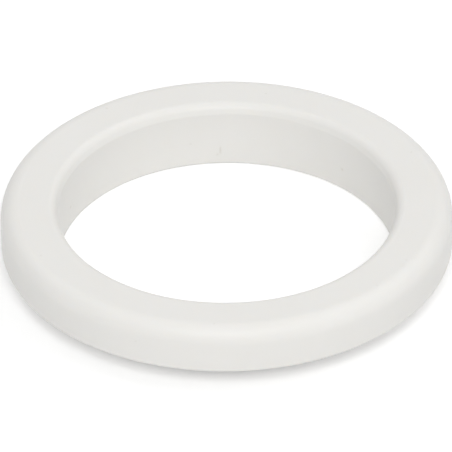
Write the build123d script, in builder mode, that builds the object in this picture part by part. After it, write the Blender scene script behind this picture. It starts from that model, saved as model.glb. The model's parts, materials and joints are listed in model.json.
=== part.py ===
from build123d import *
import os

# Group head gasket of an espresso machine: one moulded silicone ring, lying flat.
# Millimetres, +Z up, origin at the centre of the lower face, ring axis along Z.

os.makedirs("parts", exist_ok=True)

# Driving dimensions
bore_diameter = 47.6  # clears the shower screen that it is fitted round
ring_width = 8.2  # from the bore to the outer wall
ring_height = 9.9  # from the lower face to the upper face
outer_top_round = 2.5  # full round that leads into the upper face
bore_top_round = 1.5  # smaller round at the mouth of the bore
bevel_height = 3.2  # the outer wall stops this far above the lower face
lower_face_width = 3.4  # flat left between the bore and the bevel
wall_foot_round = 0.3  # where the outer wall turns into the bevel
bore_foot_chamfer = 0.25  # broken edge at the bottom of the bore

# Radii that follow from them
bore_radius = bore_diameter / 2
outer_radius = bore_radius + ring_width
lower_face_radius = bore_radius + lower_face_width

# Corners of the section, as radius and height, in order round it
bore_foot = (bore_radius, 0)
bevel_foot = (lower_face_radius, 0)
wall_foot = (outer_radius, bevel_height)
wall_top = (outer_radius, ring_height)
bore_top = (bore_radius, ring_height)

# The corners that are rounded, each with its radius
rounded_corners = {
    wall_foot: wall_foot_round,
    wall_top: outer_top_round,
    bore_top: bore_top_round,
}

# The section is drawn once, beside the axis, and turned about it
with BuildPart() as gasket_ring:
    with BuildSketch(Plane.XZ) as section:
        with BuildLine():
            Polyline(bore_foot, bevel_foot, wall_foot, wall_top, bore_top, close=True)
        make_face()
        for corner, round_radius in rounded_corners.items():
            sharp_corner = section.vertices().sort_by_distance(corner)[0]
            fillet(sharp_corner, radius=round_radius)
        chamfer(section.vertices().sort_by_distance(bore_foot)[0], length=bore_foot_chamfer)
    revolve(axis=Axis.Z)

gasket_ring.part.label = "gasket_ring"
export_step(gasket_ring.part, "parts/gasket_ring.step")
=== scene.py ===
"""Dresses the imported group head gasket: a moulded ring of off-white silicone in soft studio light.

Lengths are in metres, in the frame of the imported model: +Z up, origin at the centre of the lower face.
"""

import json
import logging
import math
from dataclasses import dataclass
from enum import Enum

import bmesh
import bpy
from mathutils import Matrix, Vector


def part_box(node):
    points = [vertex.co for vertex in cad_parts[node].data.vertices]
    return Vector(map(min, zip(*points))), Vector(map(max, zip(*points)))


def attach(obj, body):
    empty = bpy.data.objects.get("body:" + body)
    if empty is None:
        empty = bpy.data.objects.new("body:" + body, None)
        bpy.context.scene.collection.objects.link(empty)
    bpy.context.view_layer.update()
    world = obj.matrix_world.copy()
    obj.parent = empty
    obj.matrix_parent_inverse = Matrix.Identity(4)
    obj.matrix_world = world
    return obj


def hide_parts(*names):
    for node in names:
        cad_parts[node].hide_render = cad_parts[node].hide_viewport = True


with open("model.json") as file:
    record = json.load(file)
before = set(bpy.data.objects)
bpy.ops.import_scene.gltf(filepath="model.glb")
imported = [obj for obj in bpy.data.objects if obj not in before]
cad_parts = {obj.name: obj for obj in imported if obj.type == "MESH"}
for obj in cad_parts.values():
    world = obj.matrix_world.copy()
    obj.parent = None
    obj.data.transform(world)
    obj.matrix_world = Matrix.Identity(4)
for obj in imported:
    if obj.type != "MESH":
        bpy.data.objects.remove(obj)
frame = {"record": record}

logger = logging.getLogger("gasket")

MM = 0.001
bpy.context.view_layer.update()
RING_NODE = "gasket_ring"
RING_BODY = "root"

Colour = tuple[float, float, float, float]
Triple = tuple[float, float, float]

WHITE: Colour = (1.0, 1.0, 1.0, 1.0)
NOISE_MIDDLE: Triple = (0.5, 0.5, 0.5)
ROUND_PROFILE = 0.5


class Edge(Enum):
    """The corners of the ring's section, in the order in which the section is drawn."""

    BORE_FOOT = "bore foot"
    LIP_FOOT = "lip foot"
    BORE_TOP = "bore top"
    WALL_TOP = "wall top"
    WALL_FOOT = "wall foot"
    BEVEL_FOOT = "bevel foot"


def millimetres(value: float) -> float:
    """Turns millimetres into metres."""
    return value * MM


def deselect_everything() -> None:
    """Leaves nothing selected, so that the next operator acts on the new piece alone."""
    for thing in bpy.context.selected_objects:
        thing.select_set(False)


@dataclass(frozen=True)
class RingSection:
    """The section that the ring is turned from.

    Attributes:
        bore_radius: Radius of the straight inner wall.
        outer_radius: Radius of the straight outer wall.
        height: From the lower face to the upper face.
        bevel_height: How far above the lower face the outer wall ends.
        lower_face_width: Flat between the bore and the bevel.
        outer_top_round: Radius of the round between the upper face and the outer wall.
        lip_depth: How far below the upper face the bore's mouth begins to open.
        lip_lean: How far the mouth leans outwards there, in degrees.
        bore_top_round: Radius of the round between the mouth and the upper face.
        lip_foot_round: Radius of the crease where the mouth leaves the bore.
        wall_foot_round: Radius where the outer wall turns into the bevel.
        bevel_foot_round: Radius where the bevel runs into the lower face.
        bore_foot_round: Radius of the broken edge at the foot of the bore.
    """

    bore_radius: float
    outer_radius: float
    height: float
    bevel_height: float = millimetres(3.2)
    lower_face_width: float = millimetres(3.4)
    outer_top_round: float = millimetres(2.5)
    lip_depth: float = millimetres(1.35)
    lip_lean: float = 26.0
    bore_top_round: float = millimetres(1.35)
    lip_foot_round: float = millimetres(0.6)
    wall_foot_round: float = millimetres(0.3)
    bevel_foot_round: float = millimetres(0.4)
    bore_foot_round: float = millimetres(0.25)

    @classmethod
    def from_frame(cls) -> "RingSection":
        """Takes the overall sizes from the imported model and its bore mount.

        Returns:
            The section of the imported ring.
        """
        low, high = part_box(RING_NODE)
        bores = [mount for mount in frame["record"]["mounts"] if mount["kind"] == "bore"]
        return cls(
            bore_radius=millimetres(bores[0]["dims"]["r_mm"]),
            outer_radius=(high[0] - low[0]) / 2,
            height=high[2] - low[2],
        )

    def place(self, edge: Edge) -> tuple[float, float]:
        """Gives a corner's radius and height, before it is rounded.

        Args:
            edge: The corner that is asked for.

        Returns:
            Its radius and its height.
        """
        mouth = self.bore_radius + self.lip_depth * math.tan(math.radians(self.lip_lean))
        places = {
            Edge.BORE_FOOT: (self.bore_radius, 0.0),
            Edge.LIP_FOOT: (self.bore_radius, self.height - self.lip_depth),
            Edge.BORE_TOP: (mouth, self.height),
            Edge.WALL_TOP: (self.outer_radius, self.height),
            Edge.WALL_FOOT: (self.outer_radius, self.bevel_height),
            Edge.BEVEL_FOOT: (self.bore_radius + self.lower_face_width, 0.0),
        }
        return places[edge]

    def round_radius(self, edge: Edge) -> float:
        """Gives the radius of a corner's round.

        Args:
            edge: The corner that is asked for.

        Returns:
            The radius of its round.
        """
        radii = {
            Edge.BORE_FOOT: self.bore_foot_round,
            Edge.LIP_FOOT: self.lip_foot_round,
            Edge.BORE_TOP: self.bore_top_round,
            Edge.WALL_TOP: self.outer_top_round,
            Edge.WALL_FOOT: self.wall_foot_round,
            Edge.BEVEL_FOOT: self.bevel_foot_round,
        }
        return radii[edge]

    def turn(self, edge: Edge) -> float:
        """Gives the angle by which the outline turns at a corner.

        Args:
            edge: The corner that is asked for.

        Returns:
            The angle, in radians.
        """
        edges = list(Edge)
        at = edges.index(edge)
        here = Vector(self.place(edge))
        before = Vector(self.place(edges[at - 1]))
        after = Vector(self.place(edges[(at + 1) % len(edges)]))
        return (here - before).angle(after - here)

    def setback(self, edge: Edge) -> float:
        """Gives how far a corner's round reaches along its two sides."""
        return self.round_radius(edge) * math.tan(self.turn(edge) / 2)


class NodeSheet:
    """A material's or the world's node tree, with short calls to add and join nodes."""

    def __init__(self, tree: bpy.types.NodeTree) -> None:
        """Starts an empty sheet.

        Args:
            tree: The node tree to fill. Its present nodes are removed.
        """
        self.tree = tree
        self.tree.nodes.clear()

    def add(
        self, kind: str, settings: dict[str, object] | None = None, **sockets: object
    ) -> bpy.types.Node:
        """Adds a node.

        Args:
            kind: The node's type.
            settings: Properties of the node itself.
            **sockets: Values or output sockets for inputs, by name with _ for a space, or as input_0.

        Returns:
            The new node.
        """
        node = self.tree.nodes.new(kind)
        for name, value in (settings or {}).items():
            setattr(node, name, value)
        for name, value in sockets.items():
            number = name.removeprefix("input_")
            socket = node.inputs[int(number)] if number.isdigit() else node.inputs[name.replace("_", " ")]
            if isinstance(value, bpy.types.NodeSocket):
                self.tree.links.new(value, socket)
            else:
                socket.default_value = value
        return node

    def maths(self, operation: str, first: object, second: object = 0.0) -> bpy.types.NodeSocket:
        """Adds a Math node and gives its result.

        Args:
            operation: The operation's name.
            first: A value or a socket.
            second: A value or a socket.

        Returns:
            The socket with the result.
        """
        node = self.add("ShaderNodeMath", {"operation": operation}, input_0=first, input_1=second)
        return node.outputs[0]

    def vectors(self, operation: str, first: object, **sockets: object) -> bpy.types.Node:
        """Adds a Vector Math node.

        Args:
            operation: The operation's name.
            first: The first vector, as a value or a socket.
            **sockets: Values or sockets for the other inputs, named as in add.

        Returns:
            The new node.
        """
        return self.add("ShaderNodeVectorMath", {"operation": operation}, input_0=first, **sockets)

    def noise(self, place: bpy.types.NodeSocket, scale: float, detail: float) -> bpy.types.Node:
        """Adds a noise texture.

        Args:
            place: The socket with the place.
            scale: Patches to the metre.
            detail: How many finer layers it has.

        Returns:
            The new node.
        """
        return self.add("ShaderNodeTexNoise", Vector=place, Scale=scale, Detail=detail)

    def seen_directly(self) -> bpy.types.NodeSocket:
        """Tells the rays that show a thing itself from those that only carry its light.

        Returns:
            A socket that gives 1 for rays from the camera, a reflection or a refraction, and else 0.
        """
        path = self.add("ShaderNodeLightPath")
        mirrored = self.maths("MAXIMUM", path.outputs["Is Glossy Ray"], path.outputs["Is Transmission Ray"])
        return self.maths("MAXIMUM", path.outputs["Is Camera Ray"], mirrored)


@dataclass(frozen=True)
class Mark:
    """A small dark speck or nick in the ring's surface.

    Attributes:
        name: Where on the ring it is.
        angle: Angle about the axis from +X, in degrees.
        radius: Distance from the axis.
        height: Height above the lower face.
        width: How wide the mark is.
        length: How long it is along the axis.
        strength: How strongly it shows, from 0 to 1.
    """

    name: str
    angle: float
    radius: float
    height: float
    width: float
    length: float
    strength: float

    def centre(self) -> Triple:
        """Gives the mark's place in the ring's own coordinates."""
        turn = math.radians(self.angle)
        return (self.radius * math.cos(turn), self.radius * math.sin(turn), self.height)

    def stretch(self) -> Triple:
        """Gives the scale that makes the mark a ball of radius 1."""
        across = 2 / self.width
        return (across, across, 2 / self.length)


def surface_marks(section: RingSection) -> list[Mark]:
    """Lists the marks that show on the ring.

    Args:
        section: The ring's section, whose walls carry the marks.

    Returns:
        The marks.
    """
    speck = millimetres(0.6)
    large_speck = millimetres(0.8)
    foot = millimetres(0.75)
    top = section.height
    bore = section.bore_radius
    wall = section.outer_radius
    middle = bore + millimetres(5.4)
    return [
        Mark("nick, back of bore", 92.0, bore, millimetres(2.35), millimetres(0.56), millimetres(2.1), 0.7),
        Mark("nick's foot, back of bore", 93.0, bore, millimetres(1.6), foot, foot, 0.4),
        Mark("bore, back left", 102.4, bore, millimetres(3.8), speck, speck, 0.4),
        Mark("bore, left", 159.2, bore, millimetres(3.2), large_speck, large_speck, 0.8),
        Mark("bore, right", 45.6, bore, millimetres(3.4), large_speck, large_speck, 0.8),
        Mark("upper face, left", -153.4, middle, top, speck, speck, 0.4),
        Mark("upper face, back left", 125.8, middle, top, speck, large_speck, 0.7),
        Mark("upper face, front", -93.5, bore + millimetres(6.1), top, speck, speck, 0.4),
        Mark("upper face, back", 77.8, bore + millimetres(3.9), top, speck, speck, 0.5),
        Mark("upper face, back right", 24.1, bore + millimetres(5.1), top, speck, speck, 0.4),
        Mark("upper face, right", -30.7, middle, top, speck, speck, 0.3),
        Mark("upper face, front right", -45.2, bore + millimetres(5.9), top, speck, speck, 0.4),
        Mark("outer wall, front left", -113.6, wall, millimetres(6.6), speck, speck, 0.3),
    ]


@dataclass(frozen=True)
class SiliconeFinish:
    """Off-white moulded silicone with a satin skin.

    Attributes:
        name: The material's name.
        pale: The colour of most of the ring.
        deep: The slightly warmer colour that it drifts to.
        speck: The colour in the strongest marks.
        roughness: The skin's middle roughness.
        roughness_drift: How far the roughness strays to either side.
        translucency: Share of the light that goes through the skin.
        refraction: The skin's index of refraction.
        scatter: How far red, green and blue light travel inside, as shares of the scatter scale.
        scatter_scale: How far the light that goes deepest travels.
        drift_scale: Patches of colour to the metre.
        grain_scale: Grains of the moulded skin to the metre.
        grain_depth: Depth of the grain.
        swell_scale: Shallow waves to the metre.
        swell_depth: Depth of the waves.
        fine_detail: How many finer layers the patches and the grain have.
        swell_detail: How many finer layers the waves have.
        mark_depth: Depth of the marks.
        ragged_scale: Notches in the rims of the marks to the metre.
        ragged_reach: How far the rims stray.
        ragged_detail: How many finer layers the notches have.
    """

    name: str = "off_white_silicone"
    pale: Colour = (0.815, 0.807, 0.783, 1.0)
    deep: Colour = (0.793, 0.782, 0.752, 1.0)
    speck: Colour = (0.690, 0.670, 0.620, 1.0)
    roughness: float = 0.45
    roughness_drift: float = 0.05
    translucency: float = 0.15
    refraction: float = 1.41
    scatter: Triple = (1.0, 0.85, 0.65)
    scatter_scale: float = millimetres(0.5)
    drift_scale: float = 90.0
    grain_scale: float = 5200.0
    grain_depth: float = millimetres(0.012)
    swell_scale: float = 110.0
    swell_depth: float = millimetres(0.045)
    fine_detail: float = 3.0
    swell_detail: float = 1.0
    mark_depth: float = millimetres(0.02)
    ragged_scale: float = 3200.0
    ragged_reach: float = millimetres(0.35)
    ragged_detail: float = 2.0

    @staticmethod
    def spot(sheet: NodeSheet, place: bpy.types.NodeSocket, mark: Mark) -> bpy.types.NodeSocket:
        """Draws one mark.

        Args:
            sheet: The node sheet of the material.
            place: The socket with the place, already strayed for a ragged rim.
            mark: The mark.

        Returns:
            A socket that gives the mark's strength in its middle and 0 away from it.
        """
        away = sheet.vectors("SUBTRACT", place, input_1=mark.centre())
        away.label = mark.name
        scaled = sheet.vectors("MULTIPLY", away.outputs[0], input_1=mark.stretch())
        reach = sheet.vectors("LENGTH", scaled.outputs[0])
        fade = sheet.add("ShaderNodeMapRange", {"interpolation_type": "SMOOTHSTEP"},
                         Value=reach.outputs["Value"], From_Min=0.0, From_Max=1.0,
                         To_Min=mark.strength, To_Max=0.0)
        return fade.outputs["Result"]

    def mask(
        self, sheet: NodeSheet, place: bpy.types.NodeSocket, marks: list[Mark]
    ) -> bpy.types.NodeSocket:
        """Joins the marks in one mask.

        Args:
            sheet: The node sheet of the material.
            place: The socket with the object's coordinates.
            marks: The marks, at least one.

        Returns:
            A socket that gives each mark's strength in the mark and 0 away from it.
        """
        ragged = sheet.noise(place, self.ragged_scale, self.ragged_detail)
        centred = sheet.vectors("SUBTRACT", ragged.outputs["Color"], input_1=NOISE_MIDDLE)
        shove = sheet.vectors("SCALE", centred.outputs[0], Scale=self.ragged_reach)
        strayed = sheet.vectors("ADD", place, input_1=shove.outputs[0])
        spots = [self.spot(sheet, strayed.outputs[0], mark) for mark in marks]
        total = spots[0]
        for spot in spots[1:]:
            total = sheet.maths("MAXIMUM", spot, total)
        return total

    def build(self, marks: list[Mark]) -> bpy.types.Material:
        """Makes the material.

        Args:
            marks: The marks that show in the surface.

        Returns:
            The new material.
        """
        material = bpy.data.materials.new(self.name)
        material.use_nodes = True
        sheet = NodeSheet(material.node_tree)
        place = sheet.add("ShaderNodeTexCoord").outputs["Object"]

        drift = sheet.noise(place, self.drift_scale, self.fine_detail)
        grain = sheet.noise(place, self.grain_scale, self.fine_detail)
        swell = sheet.noise(place, self.swell_scale, self.swell_detail)
        mask = self.mask(sheet, place, marks)

        colour = sheet.add("ShaderNodeMixRGB", Fac=drift.outputs["Fac"], Color1=self.pale, Color2=self.deep)
        spotted = sheet.add("ShaderNodeMixRGB", Fac=mask, Color1=colour.outputs[0], Color2=self.speck)

        low, high = self.roughness - self.roughness_drift, self.roughness + self.roughness_drift
        rough = sheet.add("ShaderNodeMapRange", Value=grain.outputs["Fac"], To_Min=low, To_Max=high)

        waves = sheet.add("ShaderNodeBump", Strength=1.0, Distance=self.swell_depth,
                          Height=swell.outputs["Fac"])
        grains = sheet.add("ShaderNodeBump", Strength=1.0, Distance=self.grain_depth,
                           Height=grain.outputs["Fac"], Normal=waves.outputs["Normal"])
        pits = sheet.add("ShaderNodeBump", {"invert": True}, Strength=1.0, Distance=self.mark_depth,
                         Height=mask, Normal=grains.outputs["Normal"])

        shader = sheet.add(
            "ShaderNodeBsdfPrincipled",
            Base_Color=spotted.outputs[0],
            Roughness=rough.outputs["Result"],
            IOR=self.refraction,
            Normal=pits.outputs["Normal"],
            Subsurface_Weight=self.translucency,
            Subsurface_Radius=self.scatter,
            Subsurface_Scale=self.scatter_scale,
        )
        sheet.add("ShaderNodeOutputMaterial", Surface=shader.outputs["BSDF"])
        return material


@dataclass
class GasketRing:
    """The silicone ring, turned from its section and rounded corner by corner.

    Attributes:
        section: The section of the ring.
        segments: Steps round the axis.
        large_round_steps: Steps across the two rounds beside the upper face.
        small_round_steps: Steps across each of the other rounds.
        support: Width of the narrow faces that keep the flat faces flat beside the rounds.
        wide: A band that is longer than this gets such faces.
        level: How close two normals are where they count as the same.
        level_digits: Decimals that a normal is rounded to where normals are listed.
        near: How close two places are where they count as the same.
        merge: How close two corners of the mesh are when they become one.
    """

    section: RingSection
    segments: int = 384
    large_round_steps: int = 16
    small_round_steps: int = 5
    support: float = millimetres(0.08)
    wide: float = millimetres(1.0)
    level: float = 0.01
    level_digits: int = 2
    near: float = millimetres(0.01)
    merge: float = millimetres(0.001)

    def build(self) -> bpy.types.Object:
        """Models the ring.

        Returns:
            The ring as a mesh object.
        """
        deselect_everything()
        radius, height = self.section.place(Edge.BORE_FOOT)
        bpy.ops.mesh.primitive_circle_add(vertices=self.segments, radius=radius, fill_type="NOTHING",
                                          location=(0.0, 0.0, height))
        ring = bpy.context.active_object
        ring.name = "silicone_ring"
        ring.data.name = ring.name
        bpy.ops.object.mode_set(mode="EDIT")
        bpy.ops.mesh.select_mode(type="EDGE")
        bpy.ops.mesh.select_all(action="SELECT")
        self.draw_section()
        for edge in Edge:
            self.round_corner(ring, edge)
        self.support_flats(ring)
        bpy.ops.object.mode_set(mode="OBJECT")
        bpy.ops.object.shade_smooth()
        return ring

    def draw_section(self) -> None:
        """Extrudes the first circle from corner to corner until it closes on itself."""
        stops = [self.section.place(edge) for edge in Edge]
        stops.append(stops[0])
        for (radius, height), (next_radius, next_height) in zip(stops, stops[1:]):
            rise = (0.0, 0.0, next_height - height)
            bpy.ops.mesh.extrude_region_move(TRANSFORM_OT_translate={"value": rise})
            spread = next_radius / radius
            bpy.ops.transform.resize(value=(spread, spread, 1.0), center_override=(0.0, 0.0, next_height))
        bpy.ops.mesh.select_all(action="SELECT")
        bpy.ops.mesh.remove_doubles(threshold=self.merge)
        bpy.ops.mesh.normals_make_consistent(inside=False)

    def round_corner(self, ring: bpy.types.Object, edge: Edge) -> None:
        """Rounds one corner of the section, all the way round the ring.

        Args:
            ring: The ring, in edit mode.
            edge: The corner to round.
        """
        radius, height = self.section.place(edge)
        bpy.ops.mesh.select_all(action="DESELECT")
        mesh = bmesh.from_edit_mesh(ring.data)
        for line in mesh.edges:
            ends = [(Vector((v.co.x, v.co.y)).length, v.co.z) for v in line.verts]
            line.select = all(abs(r - radius) < self.near and abs(z - height) < self.near for r, z in ends)
        mesh.select_flush_mode()
        bmesh.update_edit_mesh(ring.data)
        large = edge in (Edge.WALL_TOP, Edge.BORE_TOP)
        bpy.ops.mesh.bevel(
            offset_type="OFFSET",
            offset=self.section.setback(edge),
            segments=self.large_round_steps if large else self.small_round_steps,
            profile=ROUND_PROFILE,
            affect="EDGES",
        )

    def support_flats(self, ring: bpy.types.Object) -> None:
        """Insets each flat band a little, so that smooth shading stays level right up to the rounds.

        Args:
            ring: The ring, in edit mode.
        """
        bpy.ops.mesh.select_mode(type="FACE")
        mesh = bmesh.from_edit_mesh(ring.data)
        slopes = {
            tuple(round(part, self.level_digits) for part in self.slope(face))
            for face in mesh.faces
            if self.longest(face) > self.wide
        }
        for outwards, upwards in sorted(slopes):
            bpy.ops.mesh.select_all(action="DESELECT")
            mesh = bmesh.from_edit_mesh(ring.data)
            for face in mesh.faces:
                out, up = self.slope(face)
                same = abs(out - outwards) < self.level and abs(up - upwards) < self.level
                face.select = same and self.longest(face) > self.wide
            bmesh.update_edit_mesh(ring.data)
            bpy.ops.mesh.inset(thickness=self.support, use_even_offset=True)

    @staticmethod
    def slope(face: bmesh.types.BMFace) -> tuple[float, float]:
        """Gives the parts of a face's normal that point away from the axis and upwards.

        Args:
            face: A face of the ring.

        Returns:
            The part away from the axis, below 0 where the face looks towards it, and the part upwards.
        """
        looks_out = face.normal.xy.dot(face.calc_center_median().xy) >= 0
        level_part = face.normal.xy.length
        return (level_part if looks_out else -level_part, face.normal.z)

    @staticmethod
    def longest(face: bmesh.types.BMFace) -> float:
        """Gives the length of a face's longest side."""
        return max(line.calc_length() for line in face.edges)

    def dress(self, ring: bpy.types.Object, finish: SiliconeFinish) -> None:
        """Gives the ring its finish and its place in the frame.

        Args:
            ring: The finished mesh.
            finish: The silicone.
        """
        ring.data.materials.clear()
        ring.data.materials.append(finish.build(surface_marks(self.section)))
        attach(ring, RING_BODY)
        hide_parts(RING_NODE)


@dataclass(frozen=True)
class StudioFloor:
    """The pale surface that the ring lies on.

    Attributes:
        size: Length of its sides.
        colour: What it reflects.
        lift: Light that it adds where it is seen directly, so that it reads as white.
    """

    size: float = 6.0
    colour: Colour = (0.86, 0.86, 0.86, 1.0)
    lift: float = 0.26

    def build(self) -> bpy.types.Object:
        """Makes the floor.

        Returns:
            The floor, marked as stage.
        """
        deselect_everything()
        bpy.ops.mesh.primitive_plane_add(size=self.size, location=(0.0, 0.0, 0.0))
        floor = bpy.context.active_object
        floor.name = "studio_floor"
        material = bpy.data.materials.new("matt_white_floor")
        material.use_nodes = True
        sheet = NodeSheet(material.node_tree)
        matt = sheet.add("ShaderNodeBsdfDiffuse", Color=self.colour)
        strength = sheet.maths("MULTIPLY", sheet.seen_directly(), self.lift)
        glow = sheet.add("ShaderNodeEmission", Color=WHITE, Strength=strength)
        both = sheet.add("ShaderNodeAddShader", input_0=matt.outputs[0], input_1=glow.outputs[0])
        sheet.add("ShaderNodeOutputMaterial", Surface=both.outputs[0])
        floor.data.materials.append(material)
        return floor


@dataclass(frozen=True)
class SoftLamp:
    """A square soft lamp that is turned to the ring.

    Attributes:
        name: The lamp's name.
        azimuth: Where it stands, in degrees: 0 is in front, 90 to the right.
        elevation: Its angle above the floor, in degrees.
        power: Its power, in watts.
        mirrored: Whether the ring's satin skin mirrors it.
        distance: Its distance from the ring.
        size: Length of its sides.
    """

    name: str
    azimuth: float
    elevation: float
    power: float
    mirrored: bool = True
    distance: float = 3.0
    size: float = 1.5

    def build(self) -> bpy.types.Object:
        """Makes the lamp.

        Returns:
            The lamp.
        """
        data = bpy.data.lights.new(self.name, "AREA")
        data.shape = "SQUARE"
        data.size = self.size
        data.energy = self.power
        lamp = bpy.data.objects.new(self.name, data)
        bpy.context.scene.collection.objects.link(lamp)
        turn, rise = math.radians(self.azimuth), math.radians(self.elevation)
        away = Vector((math.sin(turn) * math.cos(rise), -math.cos(turn) * math.cos(rise), math.sin(rise)))
        lamp.location = away * self.distance
        lamp.rotation_mode = "QUATERNION"
        lamp.rotation_quaternion = away.to_track_quat("Z", "Y")
        lamp.visible_glossy = self.mirrored
        return lamp


@dataclass(frozen=True)
class StudioSurround:
    """The white room round the ring.

    Attributes:
        strength: How brightly it lights the ring. Seen directly it is white.
    """

    strength: float = 0.452

    def build(self) -> bpy.types.World:
        """Makes the world.

        Returns:
            The world, which is set on the scene.
        """
        world = bpy.data.worlds.new("white_room")
        world.use_nodes = True
        sheet = NodeSheet(world.node_tree)
        white = sheet.add("ShaderNodeBackground", Color=WHITE, Strength=1.0)
        light = sheet.add("ShaderNodeBackground", Color=WHITE, Strength=self.strength)
        both = sheet.add("ShaderNodeMixShader", input_0=sheet.seen_directly(),
                         input_1=light.outputs[0], input_2=white.outputs[0])
        sheet.add("ShaderNodeOutputWorld", Surface=both.outputs[0])
        bpy.context.scene.world = world
        return world


@dataclass(frozen=True)
class ProductCamera:
    """The long-lens view of the photograph, from above the front of the ring.

    Attributes:
        elevation: Angle above the floor, in degrees.
        roll: Turn about the line of sight, in degrees.
        distance: Distance from the centre of the lower face.
        image_size: Length of the picture's sides, in pixels.
        radius_pixels: How many pixels the outer radius takes up.
        centre_right: How far right of the picture's middle the centre of the lower face lies, in pixels.
        centre_down: How far below the middle it lies, in pixels.
        reach: The greatest distance at which the camera sees things.
    """

    elevation: float = 35.05
    roll: float = -0.51
    distance: float = 1.28
    image_size: float = 452.0
    radius_pixels: float = 225.15
    centre_right: float = 0.93
    centre_down: float = 32.14
    reach: float = 10.0

    def build(self, outer_radius: float) -> bpy.types.Object:
        """Makes the camera.

        Args:
            outer_radius: The ring's outer radius, which sets the lens.

        Returns:
            The camera, which is set on the scene.
        """
        data = bpy.data.cameras.new("product_camera")
        data.type = "PERSP"
        data.dof.use_dof = False
        data.lens = data.sensor_width * self.radius_pixels * self.distance / outer_radius / self.image_size
        camera = bpy.data.objects.new("product_camera", data)
        bpy.context.scene.collection.objects.link(camera)
        rise = math.radians(self.elevation)
        back = Vector((0.0, -math.cos(rise), math.sin(rise)))
        upright = (-back).to_track_quat("-Z", "Y")
        turned = upright @ Matrix.Rotation(math.radians(self.roll), 3, "Z").to_quaternion()
        pixel = outer_radius / self.radius_pixels
        aim = turned @ Vector((-self.centre_right * pixel, self.centre_down * pixel, 0.0))
        camera.location = back * self.distance
        swing = (-back).rotation_difference(aim - camera.location)
        camera.rotation_mode = "QUATERNION"
        camera.rotation_quaternion = swing @ turned
        data.clip_end = self.reach
        bpy.context.scene.camera = camera
        return camera


def soft_lamps() -> list[SoftLamp]:
    """Lists the studio's lamps.

    Returns:
        The lamps.
    """
    return [
        SoftLamp("front_softbox", azimuth=0.0, elevation=50.0, power=36.6),
        SoftLamp("front_low_fill", azimuth=0.0, elevation=20.0, power=8.6, mirrored=False),
        SoftLamp("right_fill", azimuth=90.0, elevation=50.0, power=9.3),
        SoftLamp("back_left_fill", azimuth=-135.0, elevation=50.0, power=6.5),
        SoftLamp("back_right_fill", azimuth=135.0, elevation=50.0, power=10.5),
    ]


def main() -> None:
    """Builds the ring, its stage, its light and the camera."""
    logging.basicConfig(level=logging.INFO)
    bpy.context.scene.view_settings.view_transform = "Standard"

    section = RingSection.from_frame()
    gasket = GasketRing(section)
    ring = gasket.build()
    gasket.dress(ring, SiliconeFinish())
    logger.info("%s: %d faces", ring.name, len(ring.data.polygons))

    floor = StudioFloor().build()
    logger.info("%s: stage", floor.name)
    for lamp in soft_lamps():
        logger.info("%s: %.1f W", lamp.build().name, lamp.power)
    StudioSurround().build()
    ProductCamera().build(section.outer_radius)


if __name__ == "__main__":
    main()
